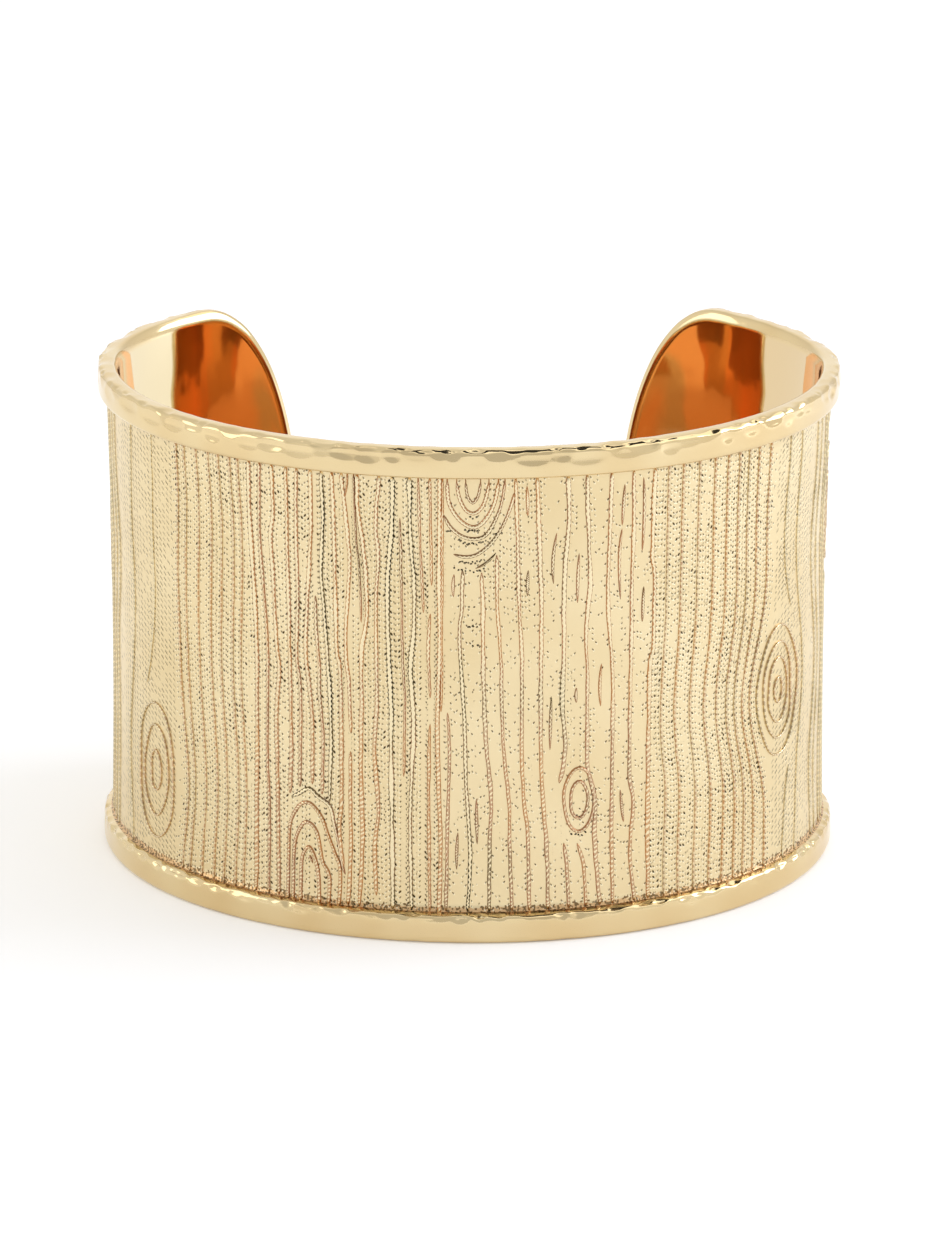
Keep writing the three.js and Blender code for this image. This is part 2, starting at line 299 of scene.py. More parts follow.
# Lines of the two front boards, each drawn from its top to its foot through (along, up) places.
# An end that isn't at the border runs out in a point. tone is how dark the painted shade on its flanks is.
drawn_lines = [
    dict(half=0.24, tone=0.1, path=[(-19.1, 40), (-19.05, 35), (-18.7, 29), (-18.5, 22.7), (-18.6, 10),
                                    (-18.6, 3)]),
    dict(half=0.17, tone=0.3, path=[(-18, 40), (-18.1, 35.2), (-18, 32.5), (-17.7, 29), (-17.4, 23.8),
                                    (-17.5, 15.5), (-17.3, 10.2), (-17.3, 3)]),
    dict(half=0.21, tone=0.15, path=[(-16.8, 40), (-16.7, 36.3), (-17, 34.2), (-16.8, 31), (-16.5, 24.8),
                                     (-16.25, 22.7), (-16.55, 18.6), (-16.45, 12.3), (-16.3, 3)]),
    dict(half=0.21, tone=0.2, path=[(-15.4, 40), (-15.3, 29), (-15.2, 22.7), (-15.1, 16.5), (-15.25, 11.7)]),
    dict(half=0.2, tone=0.35, path=[(-14.4, 40), (-14.5, 35.2), (-14.4, 29), (-14.55, 24.2), (-14.2, 20.7),
                                    (-14.3, 12.4)]),
    dict(half=0.22, tone=0.2, path=[(-13.1, 40), (-13.1, 35.2), (-13.5, 29), (-13.7, 24.8), (-13.4, 21.7),
                                    (-13.1, 18.6), (-13.1, 12.8)]),
    dict(half=0.17, tone=0.4, path=[(-12.75, 29.6), (-12.7, 27), (-12.45, 23.8), (-12.4, 20.7),
                                    (-12.1, 17.5), (-12.2, 12)]),
    dict(half=0.21, tone=0.85, path=[(-12.1, 40), (-12, 36.3), (-12.2, 32), (-12, 29), (-11.7, 24.8),
                                     (-11.45, 20.7), (-11.35, 16.5), (-11.55, 11.3)]),
    dict(half=0.22, tone=0.15, path=[(-11.15, 40), (-11, 35.2), (-10.9, 29), (-10.8, 24.8), (-10.5, 22.7),
                                     (-10.4, 12.3), (-10.6, 9.2), (-10.2, 5.7)]),
    dict(half=0.2, tone=0.1, path=[(-10.3, 40), (-10.1, 38.4), (-9.8, 35.2), (-9.6, 32.7), (-9.85, 29),
                                   (-10, 25.9), (-9.9, 23.8), (-9.7, 21.7), (-9.55, 17.7)]),
    dict(half=0.14, tone=0.1, path=[(-9.75, 40), (-9.95, 38.2)]),
    dict(half=0.21, tone=0.2, path=[(-9.6, 16.3), (-9.6, 11.3), (-9.55, 7.7), (-9.75, 3)]),
    dict(half=0.23, tone=0.1, path=[(-8.9, 40), (-8.85, 37.3), (-8.3, 33.2), (-8.1, 29), (-8.3, 26.9),
                                    (-8.6, 24.8), (-8.6, 20.7), (-8.65, 14.4), (-8.5, 8.2), (-8.75, 3)]),
    dict(half=0.12, tone=0.5, path=[(-9.2, 40), (-9.05, 35.2), (-8.75, 32), (-8.6, 27.4)]),
    dict(half=0.2, tone=0.3, path=[(-7, 40), (-7.3, 36.3), (-7.1, 33.2), (-7.3, 29), (-7.25, 20.7),
                                   (-7.45, 16.5), (-7.1, 11.3), (-7.4, 8.2), (-7.25, 3.6)]),
    dict(half=0.25, tone=0.9, path=[(-5.85, 40), (-5.9, 36.3), (-6.3, 31), (-6.2, 24.8), (-6, 20.7),
                                    (-6, 16.5), (-5.9, 10.2), (-5.8, 3)]),
    dict(half=0.15, tone=0.45, path=[(-5.2, 37), (-5.1, 31), (-5, 24.8), (-4.8, 20.7), (-4.9, 14.2)]),
    dict(half=0.24, tone=0.8, path=[(-4.4, 40), (-4.3, 35.2), (-4, 31), (-4.05, 27), (-4.3, 23.8),
                                    (-4.05, 18.6), (-4.3, 12.3), (-4.3, 8.2), (-4.2, 3)]),
    dict(half=0.14, tone=0.3, path=[(-3.65, 40), (-3.5, 35.2), (-3.2, 28.6)]),
    dict(half=0.16, tone=0.2, path=[(-2.65, 40), (-2.6, 36.3), (-2.5, 31)]),
    dict(half=0.13, tone=0.0, path=[(-1.6, 40), (-1.62, 33), (-1.63, 26), (-1.68, 20)]),
    dict(half=0.16, tone=0.2, path=[(-2.6, 28.8), (-2.8, 25.7), (-2.6, 21.2)]),
    dict(half=0.16, tone=0.2, path=[(-2.6, 19.2), (-2.7, 16.5), (-2.7, 10.2), (-2.6, 3)]),
    dict(half=0.17, tone=0.4, path=[(-1.15, 20.2), (-0.95, 16.5), (-1.1, 10.2), (-1.2, 3)]),
    dict(half=0.2, tone=0.75, path=[(0.1, 32.6), (0.05, 29), (-0.15, 27), (0.1, 22.7), (0.35, 18.6),
                                    (0.45, 14.4), (0.85, 7.5), (0.65, 3)]),
    dict(half=0.2, tone=0.5, path=[(1.7, 32.4), (1.85, 29), (1.9, 24.8), (2, 20.7), (2.25, 16.5),
                                   (2.65, 12.3), (2.5, 8.2), (2.5, 3)]),
    dict(half=0.2, tone=0.35, path=[(3, 33.9), (3.1, 29), (3.4, 24.8), (3.5, 20.7), (3.7, 16.5),
                                    (4.15, 12.3), (4.25, 8.2), (4.45, 3)]),
    dict(half=0.2, tone=0.35, path=[(4.55, 40), (4.75, 35.2), (4.95, 29), (5.2, 24.8), (5.25, 16.5),
                                    (5.45, 12.3), (5.8, 9.2), (5.95, 3)]),
    dict(half=0.22, tone=0.4, path=[(6.4, 40), (6.6, 35.2), (6.85, 29), (6.85, 22.7), (6.9, 16.5),
                                    (7.1, 12.3), (7.45, 8.2), (7.6, 3)]),
    dict(half=0.23, tone=0.65, path=[(9.05, 40), (9.15, 36.3), (8.9, 33.2), (8.8, 29), (8.85, 24.8),
                                     (8.75, 20.7), (9.05, 16.5), (8.5, 13.6)]),
    dict(half=0.19, tone=0.4, path=[(8.95, 8.5), (9.25, 6), (9.4, 3)]),
    dict(half=0.22, tone=0.6, path=[(10.7, 40), (10.9, 35.2), (11.1, 31), (10.8, 27), (10.95, 22.7),
                                    (11, 18.6), (11.05, 14.9), (11.75, 12), (11.7, 9.2), (11.9, 6),
                                    (12.2, 3)]),
    dict(half=0.19, tone=0.4, path=[(10.1, 8.4), (10.7, 6.4), (10.95, 3)]),
    dict(half=0.21, tone=0.45, path=[(12.9, 40), (12.8, 35.2), (12.7, 31), (12.8, 28), (13.1, 24.8),
                                     (13.3, 20.7), (13.25, 10.2), (13.4, 3)]),
    dict(half=0.21, tone=0.4, path=[(14.9, 40), (15, 35.2), (14.9, 31), (14.95, 24.8), (14.9, 18.6),
                                    (14.95, 13.4), (15.3, 11.3), (15, 7.1), (15.4, 3)]),
    dict(half=0.24, tone=0.1, path=[(16.9, 40), (16.85, 36.3), (16.8, 32.7), (17.05, 31), (17.05, 24.8),
                                    (16.75, 22.7), (16.7, 10), (16.75, 3)]),
]

# Knots: middle of each and half size of its outermost ring, in millimetres. rings are shares of
# that size. The two that the border cuts have no whole ring: their lines are drawn further down.
knots = [
    dict(along=10.3, up=12.1, wide=1.33, tall=2.8, rings=[1, 0.58]),
    dict(along=32.3, up=17.9, wide=3.3, tall=5.8, rings=[1, 0.74, 0.5, 0.2]),
    dict(along=-31.5, up=10.3, wide=3.0, tall=6.0, rings=[1, 0.68, 0.3]),
    dict(along=-47.9, up=26.7, wide=2.15, tall=4.7, rings=[1, 0.5]),
    dict(along=46.3, up=31.0, wide=2.4, tall=5.2, rings=[1, 0.5]),
]


def flow_round(along, drift, up):
    """The grain parts round each knot. A line that strays stays on its own side of it."""
    moved = along + drift
    for knot in knots:
        side = -1 if along < knot["along"] else 1
        off = max(0.0, side * (moved - knot["along"]))
        near = math.exp(-(((up - knot["up"]) / knot["tall"]) ** 2))
        moved = knot["along"] + side * math.hypot(off, knot["wide"] * knot_parting * math.sqrt(near))
    return moved


def stray(up, phase):
    """How far a line strays from its place at a height, as a share of its board's sway."""
    wave = math.sin(up / grain_wave * 2 * math.pi + phase)
    second = math.sin(up / second_wave * 2 * math.pi + 3 * phase)
    return (wave + second_share * second) / (1 + second_share)


def smoothed(places, step):
    """A smooth path through places, cut into steps of about one length."""
    path = []
    for k in range(len(places) - 1):
        before = places[max(k - 1, 0)]
        start, end = places[k], places[k + 1]
        after = places[min(k + 2, len(places) - 1)]
        count = max(1, round(math.dist(start, end) / step))
        for number in range(count):
            t = number / count
            weights = (-0.5 * t + t * t - 0.5 * t ** 3, 1 - 2.5 * t * t + 1.5 * t ** 3,
                       0.5 * t + 2 * t * t - 1.5 * t ** 3, -0.5 * t * t + 0.5 * t ** 3)
            path.append(tuple(sum(w * p[axis] for w, p in zip(weights, (before, start, end, after)))
                              for axis in (0, 1)))
    return path + [tuple(places[-1])]


grain_lines = [dict(along=place, sway=0.0, phase=0.0, joint=True, path=None) for place in joints]
for number, board in enumerate(boards):
    for place in board["lines"]:
        grain_lines.append(dict(along=place, sway=board["sway"], phase=number + place / 9,
                                joint=False, path=None))
for line in drawn_lines:
    path = smoothed(line["path"], line_step)
    grain_lines.append(dict(along=path[len(path) // 2][0], joint=False, path=path, half=line["half"],
                            tone=line["tone"]))
grain_lines.sort(key=lambda line: line["along"])


def line_place(line, up):
    """Where a grain line runs at a height. A drawn line goes straight on past its ends."""
    if line["path"] is None:
        return flow_round(line["along"], line["sway"] * stray(up, line["phase"]), up)
    path = line["path"]
    found = min(max(bisect_right(path, -up, key=lambda place: -place[1]), 1), len(path) - 1)
    above, below = path[found - 1], path[found]
    share = min(max((above[1] - up) / max(above[1] - below[1], 0.01), 0.0), 1.0)
    return above[0] + (below[0] - above[0]) * share


least_gap = 0.05
row_lines = {}
for row in range(band_from, band_to + 1):
    half = middle_height - loop[row][0]
    up = middle_height + half * loop[row][2]
    places = [line_place(line, up) for line in grain_lines]
    for k in range(1, len(places)):
        places[k] = max(places[k], places[k - 1] + least_gap)
    row_lines[row] = places

# The inner face is painted a deeper gold round its back and behind its front: a painted reflection of its
# gold walls in each other. A cloud of dots lies high on the smooth board, beside the knot that hangs from the
# border.
unevenness = 0.07
uneven_length = 2.6
tip_fade = 4.0
inner_skin = 0.02
back_from = 62.0
front_to = 40.0
painted_reflection_fade = 4.0
patch_wide = 2.0
patch_tall = 5.0
cloud_from = 1.5
cloud_to = 7.0
cloud_foot = 29.0
cloud_dots = 0.35
for vert in made["verts"]:
    column = round((vert.co.x + 1) / 2 * station_count)
    row = round((vert.co.y + 1) / 2 * (len(loop) - 1))
    inset, out, level = loop[row]
    along, half = on_outline(column, inset)
    mirrored = row if row <= band_from else 2 * band_from + band_rows - row
    edge_side = 1 if level > 0 else -1
    if 0 < mirrored < band_from - 2:
        way = section_way[mirrored]
        # The two halves of the border meet at the tip of each end, so the dents fade out there
        near_tip = min(1.0, half / tip_fade)
        deep = near_tip * max(dent_depth(blows, along, way) for blows in blows_of_edge[edge_side])
        before, after = section[mirrored - 1], section[mirrored + 1]
        span = math.dist(before, after)
        inset += deep * (after[1] - before[1]) / span
        out -= deep * (after[0] - before[0]) / span
        uneven = noise.noise(Vector((along / uneven_length, edge_side * 5.0, 1.0)))
        inset += unevenness * near_tip * abs(uneven) * max(0.0, 1 - loop[row][0] / border_width)
        along, half = on_outline(column, inset)
    up = middle_height + half * level
    vert.co = wall_point(along, up, out)
    at_back = min(max((abs(along) - back_from) / painted_reflection_fade, 0.0), 1.0)
    at_front = min(max((front_to - abs(along)) / painted_reflection_fade, 0.0), 1.0)
    # crease marks the step rows between border and band, where the band's material paints an orange
    # reflection
    values = dict(along=along, up=up, inside=1.0 if out < inner_skin else 0.0,
                  deep=max(at_back, at_front),
                  crease=1.0 if band_from - 3 < mirrored < band_from else 0.0)
    if band_from <= row <= band_to:
        places = row_lines[row]
        found = min(max(bisect_right(places, along) - 1, 0), len(places) - 2)
        gap = places[found + 1] - places[found]
        board = next((b for b in boards if b["start"] <= along <= b["end"]), boards[0])
        patch = 0.5 + 0.5 * noise.noise(Vector((along / patch_wide, up / patch_tall, 2.0)))
        in_cloud = cloud_from < along < cloud_to and up > cloud_foot and board["dots"] < 0.5
        values.update(lane=found + (along - places[found]) / gap, gap=gap,
                      dots=board["dots"] * (0.4 + 1.2 * patch) + (cloud_dots if in_cloud else 0.0),
                      hatch=board["hatch"] * (0.7 + 0.6 * patch))
    for name, value in values.items():
        vert[wall_layers[name]] = value

for face in wall.faces:
    on_band = min(vert[wall_layers["gap"]] + vert[wall_layers["crease"]] for vert in face.verts) > 0
    face.material_index = 1 if on_band else 0


def close_up(shape, seam, sliver):
    """Closes a shape's seams, takes out faces of no width, turns the rest outwards and smooths them."""
    bmesh.ops.remove_doubles(shape, verts=shape.verts, dist=seam)
    bmesh.ops.dissolve_degenerate(shape, edges=shape.edges, dist=sliver)
    bmesh.ops.recalc_face_normals(shape, faces=shape.faces)
    for face in shape.faces:
        face.smooth = True


def as_object(shape, name):
    """Makes a shape an object of the scene, with its place in its mesh."""
    mesh = bpy.data.meshes.new(name)
    shape.to_mesh(mesh)
    shape.free()
    piece = bpy.data.objects.new(name, mesh)
    bpy.context.scene.collection.objects.link(piece)
    return piece


close_up(wall, seam=0.5e-6, sliver=1e-7)
cuff_wall = as_object(wall, "cuff_wall")
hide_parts("cuff")
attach(cuff_wall, "root")


def linear(hex_colour):
    """An sRGB hex colour as the linear colour that a shader takes."""
    shares = [int(hex_colour[k:k + 2], 16) / 255 for k in (1, 3, 5)]
    return [s / 12.92 if s <= 0.04045 else ((s + 0.055) / 1.055) ** 2.4 for s in shares] + [1.0]


def cleared_tree(owner):
    """The nodes of a new material or tent, emptied."""
    owner.use_nodes = True
    owner.node_tree.nodes.clear()
    return owner.node_tree


def add_node(tree, kind, *inputs, **settings):
    """Adds a node. A kind such as ADD is that step of arithmetic. The inputs come in the node's own
    order, or in one dictionary by name, and each is a value, a node or one of a node's outputs."""
    is_step = not kind.startswith("ShaderNode")
    node = tree.nodes.new("ShaderNodeMath" if is_step else kind)
    if is_step:
        node.operation = kind
    for name, value in settings.items():
        setattr(node, name, value)
    by_name = len(inputs) == 1 and isinstance(inputs[0], dict)
    sockets = inputs[0] if by_name else dict(enumerate(inputs))
    for key, value in sockets.items():
        if isinstance(value, bpy.types.Node):
            value = value.outputs[0]
        if isinstance(value, bpy.types.NodeSocket):
            tree.links.new(value, node.inputs[key])
        else:
            node.inputs[key].default_value = value
    return node


# Polished gold plate on brass: mirror smooth, with the faint unevenness of hand polishing. The border and the
# sides of the inner face are a paler gold, the left side of the inner face palest. The rest of the inner face
# is painted a deeper yellow: a painted reflection of the gold walls in each other.
polish_roughness = 0.1
inside_roughness = 0.05
bounced_light = 0.075
swells_per_metre = 160.0
swell_depth = 0.0003
polished = bpy.data.materials.new("polished gold plate on brass")
tree = cleared_tree(polished)
coords = add_node(tree, "ShaderNodeTexCoord").outputs["Object"]
inside, deep, along = (add_node(tree, "ShaderNodeAttribute", attribute_name=name).outputs["Fac"]
                       for name in ("inside", "deep", "along"))
swell = add_node(tree, "ShaderNodeTexNoise", {"Vector": coords, "Scale": swells_per_metre,
                                              "Detail": 1.0}).outputs["Fac"]
tint = add_node(tree, "ShaderNodeValToRGB", swell)
for element, position, colour in zip(tint.color_ramp.elements, (0.3, 0.7), ("#DBC190", "#E3CEA1")):
    element.position = position
    element.color = linear(colour)
on_right = add_node(tree, "GREATER_THAN", along, 0.0)
side_gold = add_node(tree, "ShaderNodeMixRGB", on_right, linear("#E1D0A9"), linear("#DAC298"))
# Painted reflection: the inner face turns a deeper yellow where the deep attribute is set
inner_gold_with_painted_reflection = add_node(tree, "ShaderNodeMixRGB", deep, side_gold, linear("#F4C290"))
gold = add_node(tree, "ShaderNodeMixRGB", inside, tint, inner_gold_with_painted_reflection)
roughness = add_node(tree, "ShaderNodeMapRange", inside, 0.0, 1.0, polish_roughness, inside_roughness)
# Inside the cuff light goes on bouncing for longer than a render follows it. This stands for the rest.
bounced = add_node(tree, "MULTIPLY", add_node(tree, "MULTIPLY", inside, deep), bounced_light)
polish_bump = add_node(tree, "ShaderNodeBump", {"Strength": 0.3, "Distance": swell_depth,
                                                "Height": swell})
shader = add_node(tree, "ShaderNodeBsdfPrincipled", {
    "Base Color": gold, "Metallic": 1.0, "Roughness": roughness, "Normal": polish_bump,
    "Emission Color": linear("#FF8A2C"), "Emission Strength": bounced})
add_node(tree, "ShaderNodeOutputMaterial", shader)
cuff_wall.data.materials.append(polished)

# Gold plate over the cast band: satin between the lines, with columns of punched dots beside
# them and, on the boards at the sides, short slanting cuts. Dots are 0.47 mm apart, in columns
# 0.3 mm apart. They are drawn 0.2 mm across, a little larger than real, so that they show.
dot_pitch = 0.47
dot_radius = 0.1
bold_more = 0.045
dot_columns = 0.3
dot_first = 0.12
dot_stray = 0.16
dot_slant = 0.7
glint_off = 0.09
glint_strength = 0.75
hatch_column = 0.6
hatch_pitch = 0.5
hatch_lean = -0.9
cut_half = 0.24
cut_reach = 0.3
rough_foot = 2.95
crumbs_per_metre = 4600.0
clouds_per_metre = 90.0
punch_depth = 0.0001
band_gold = bpy.data.materials.new("satin gold plate with punched dots")
tree = cleared_tree(band_gold)
coords = add_node(tree, "ShaderNodeTexCoord").outputs["Object"]
lane, gap, along, up, dots, hatch, crease = (
    add_node(tree, "ShaderNodeAttribute", attribute_name=name).outputs["Fac"]
    for name in ("lane", "gap", "along", "up", "dots", "hatch", "crease"))

# Place of the nearest dot: its column beside a line, and its row up that column
share = add_node(tree, "FRACT", lane)
nearer = add_node(tree, "MINIMUM", share, add_node(tree, "SUBTRACT", 1.0, share))
from_line = add_node(tree, "MULTIPLY", nearer, gap)
column_way = add_node(tree, "DIVIDE", add_node(tree, "SUBTRACT", from_line, dot_first), dot_columns)
beside = add_node(tree, "FLOOR", column_way)
lane_half = add_node(tree, "FLOOR", add_node(tree, "MULTIPLY", lane, 2.0))
column = add_node(tree, "MULTIPLY_ADD", lane_half, 7.0, beside)
column_dice = add_node(tree, "ShaderNodeTexWhiteNoise", {"W": column}, noise_dimensions="1D")
way_up = add_node(tree, "ADD", add_node(tree, "DIVIDE", up, dot_pitch), column_dice)
cell = add_node(tree, "ShaderNodeCombineXYZ", column, add_node(tree, "FLOOR", way_up))
dice = add_node(tree, "ShaderNodeTexWhiteNoise", {"Vector": cell}, noise_dimensions="2D")
dice_across, dice_up, dice_size = add_node(tree, "ShaderNodeSeparateColor", dice.outputs["Color"]).outputs

# How far off the dot's middle lies, across and up, and whether a dot was punched there
offs = []
for way, chance_off, pitch in ((column_way, dice_across, dot_columns), (way_up, dice_up, dot_pitch)):
    off = add_node(tree, "SUBTRACT", add_node(tree, "FRACT", way), 0.5)
    off = add_node(tree, "MULTIPLY_ADD", add_node(tree, "SUBTRACT", chance_off, 0.5), dot_stray, off)
    offs.append(add_node(tree, "MULTIPLY", off, pitch))
off_across, off_up = offs
slanted = add_node(tree, "MULTIPLY_ADD", off_across, dot_slant, off_up)
spot = add_node(tree, "ShaderNodeCombineXYZ", off_across, slanted)
reach = add_node(tree, "ShaderNodeVectorMath", spot, operation="LENGTH").outputs["Value"]
chance = add_node(tree, "MULTIPLY", dots, add_node(tree, "MULTIPLY_ADD", beside, -0.35, 1.15))
there = add_node(tree, "MULTIPLY", add_node(tree, "LESS_THAN", dice, chance),
                 add_node(tree, "GREATER_THAN", beside, -0.5))
bold = add_node(tree, "GREATER_THAN", dice_size, add_node(tree, "MULTIPLY_ADD", dots, -0.4, 1.3))
size = add_node(tree, "MULTIPLY_ADD", bold, bold_more, dot_radius)
dot_floor = add_node(tree, "MULTIPLY", size, 0.5)
dot = add_node(tree, "ShaderNodeMapRange", reach, size, dot_floor, 0.0, 1.0)
dot_tone = add_node(tree, "MAXIMUM", bold, add_node(tree, "MULTIPLY_ADD", dice_size, 0.5, 0.45))
dot = add_node(tree, "MULTIPLY", add_node(tree, "MULTIPLY", dot, there), dot_tone)

# A painted highlight: the far lip of each dot is painted a near-white gold, as if it caught the light
lip_spot = add_node(tree, "ShaderNodeCombineXYZ", add_node(tree, "SUBTRACT", off_across, glint_off),
                    add_node(tree, "ADD", off_up, glint_off))
lip_reach = add_node(tree, "ShaderNodeVectorMath", lip_spot, operation="LENGTH").outputs["Value"]
lip_edge = add_node(tree, "MULTIPLY", size, 0.6)
painted_glint = add_node(tree, "ShaderNodeMapRange", lip_reach, size, lip_edge, 0.0, glint_strength)
painted_glint = add_node(tree, "MULTIPLY", painted_glint, there)

# Slanting cuts in columns. They lean away from the front on both sides of it.
hatch_across = add_node(tree, "DIVIDE", along, hatch_column)
hatch_cell = add_node(tree, "FLOOR", hatch_across)
hatch_share = add_node(tree, "SUBTRACT", add_node(tree, "FRACT", hatch_across), 0.5)
lean = add_node(tree, "MULTIPLY", add_node(tree, "SIGN", along), hatch_lean)
hatch_dice = add_node(tree, "ShaderNodeTexWhiteNoise", {"W": hatch_cell}, noise_dimensions="1D")
hatch_way = add_node(tree, "ADD", add_node(tree, "DIVIDE", up, hatch_pitch), hatch_dice)
hatch_way = add_node(tree, "ADD", add_node(tree, "MULTIPLY", lean, hatch_share), hatch_way)
hatch_off = add_node(tree, "SUBTRACT", add_node(tree, "FRACT", hatch_way), 0.5)
hatch_spot = add_node(tree, "ShaderNodeCombineXYZ", hatch_cell, add_node(tree, "FLOOR", hatch_way))
cut_dice = add_node(tree, "ShaderNodeTexWhiteNoise", {"Vector": hatch_spot}, noise_dimensions="2D")
cut = add_node(tree, "ShaderNodeMapRange", add_node(tree, "ABSOLUTE", hatch_off), cut_half,
               cut_half / 2, 0.0, 1.0)
for share_of_cut in (add_node(tree, "LESS_THAN", add_node(tree, "ABSOLUTE", hatch_share), cut_reach),
                     add_node(tree, "LESS_THAN", cut_dice, add_node(tree, "MULTIPLY", hatch, 0.75)),
                     add_node(tree, "MULTIPLY_ADD", cut_dice, 0.5, 0.25)):
    cut = add_node(tree, "MULTIPLY", cut, share_of_cut)

# The rough foot of the band, where the grain runs out against the border, with crumbs of grit on it. The foot
# and the step between band and border all round are painted a deeper orange: a painted reflection of the gold
# walls of the crease in each other.
crumbs = add_node(tree, "ShaderNodeTexNoise", {"Vector": coords, "Scale": crumbs_per_metre,
                                               "Detail": 0.0}).outputs["Fac"]
foot = add_node(tree, "LESS_THAN", up, add_node(tree, "MULTIPLY_ADD", crumbs, 0.7, rough_foot - 0.3))
crumb = add_node(tree, "MULTIPLY", foot, add_node(tree, "GREATER_THAN", crumbs, 0.55))
mark = add_node(tree, "MAXIMUM", add_node(tree, "MAXIMUM", dot, cut), add_node(tree, "MULTIPLY", crumb, 0.75))

cloud = add_node(tree, "ShaderNodeTexNoise", {"Vector": coords, "Scale": clouds_per_metre,
                                              "Detail": 2.0}).outputs["Fac"]
tint = add_node(tree, "ShaderNodeValToRGB", cloud)
for element, position, colour in zip(tint.color_ramp.elements, (0.3, 0.7), ("#E1CB9D", "#E9D6AC")):
    element.position = position
    element.color = linear(colour)
# Painted reflection in the crease: the foot and the step are mixed towards orange
orange = add_node(tree, "MULTIPLY", add_node(tree, "MAXIMUM", foot, crease), 0.6)
tint_with_crease_reflection = add_node(tree, "ShaderNodeMixRGB", orange, tint, linear("#D59F66"))
tint_with_painted_glint = add_node(tree, "ShaderNodeMixRGB", painted_glint, tint_with_crease_reflection, linear("#FFF4D2"))
marked = add_node(tree, "ShaderNodeMixRGB", mark, tint_with_painted_glint, linear("#4E4026"))
punch_bump = add_node(tree, "ShaderNodeBump", {"Strength": 0.6, "Distance": punch_depth,
                                               "Height": add_node(tree, "SUBTRACT", 1.0, mark)})
shader = add_node(tree, "ShaderNodeBsdfPrincipled", {
    "Base Color": marked, "Metallic": 1.0, "Roughness": 0.3, "Normal": punch_bump})
add_node(tree, "ShaderNodeOutputMaterial", shader)
cuff_wall.data.materials.append(band_gold)

# Raised grain lines: narrow ribs cast with the band, with a painted highlight on their crests and painted
# shade on their flanks. They run up the band from border to border and part round the knots.
line_root = 0.06
line_height = 0.13
line_lap = 0.45
near_border = 1.0
faint_from = 31.4
rib_section = [(-1.0, 0.0), (-0.62, 0.8), (0.0, 1.0), (0.62, 0.8), (1.0, 0.0), (-1.0, 0.0)]
rib_layer_names = ("half", "way", "tone", "side")
thin_from = 0.1
point_steps = 3
width_unevenness = 0.4
waver = 0.05
waver_length = 1.2
joint_half = 0.22
joint_tone = 0.1
faint_less = 0.5


def add_rib(shape, layers, path, halves, height, closed, tone):
    """Adds a rib along a path of (along, up) places, with its half width at each of them."""
    steps = len(path) if closed else len(path) - 1
    made = bmesh.ops.create_grid(shape, x_segments=steps, y_segments=len(rib_section) - 1, size=1.0)
    for vert in made["verts"]:
        number = round((vert.co.x + 1) / 2 * steps)
        here = number % len(path)
        before = path[(here - 1) % len(path) if closed else max(here - 1, 0)]
        after = path[(here + 1) % len(path) if closed else min(here + 1, len(path) - 1)]
        across, lift = rib_section[round((vert.co.y + 1) / 2 * (len(rib_section) - 1))]
        run = Vector((after[0] - before[0], after[1] - before[1])).normalized()
        half = halves[here]
        place = path[here]
        out = band_thickness - line_root + lift * (height + line_root) * min(1.0, half / thin_from)
        vert.co = wall_point(place[0] - run.y * across * half, place[1] + run.x * across * half, out)
        values = (half, number * line_step, tone, across)
        for layer, value in zip(layers, values):
            vert[layer] = value


def band_half(along):
    """Half the height of the sunk band at a place along the wall."""
    past = (abs(along - strip_middle) - straight_half) / (end_round_length - border_width)
    if past <= 0:
        return middle_height - border_width
    if past >= 1:
        return 0.0
    return (middle_height - border_width) * (1 - past ** end_fullness) ** (1 / end_fullness)


def meets_knot(along, up):
    """Whether a line that starts at this place would run through the middle of a knot."""
    return any(abs(along - knot["along"]) < knot["wide"] * knot_core
               and abs(up - knot["up"]) < knot["tall"] * knot_parting for knot in knots)


def half_widths(path, half, first_free, last_free, wobble):
    """Half widths along a rib: a little uneven, and drawn to a point at each end that is free."""
    halves = []
    for k, place in enumerate(path):
        from_first = k / point_steps if first_free else 1.0
        from_last = (len(path) - 1 - k) / point_steps if last_free else 1.0
        taper = math.sin(min(from_first, from_last, 1.0) * math.pi / 2)
        uneven = width_unevenness * noise.noise(Vector((wobble, place[1] / 3.0, 5.0)))
        halves.append(half * taper * (1 + uneven))
    halves[0] = 0.0
    halves[-1] = 0.0
    return halves


def to_border(path):
    """A drawn path with each end that lies near the border carried on into the border."""
    top, foot = path[0], path[-1]
    longer = list(path)
    if cuff_height - border_width - top[1] < near_border:
        longer = [(top[0], cuff_height - border_width + line_lap)] + longer
    if foot[1] - border_width < near_border:
        longer = longer + [(foot[0], border_width - line_lap)]
    return longer


def wavered(along, up, wobble):
    """A place of a line, moved a little aside by the unsteady hand that drew it."""
    return along + waver * noise.noise(Vector((wobble, up / waver_length, 0.0))), up


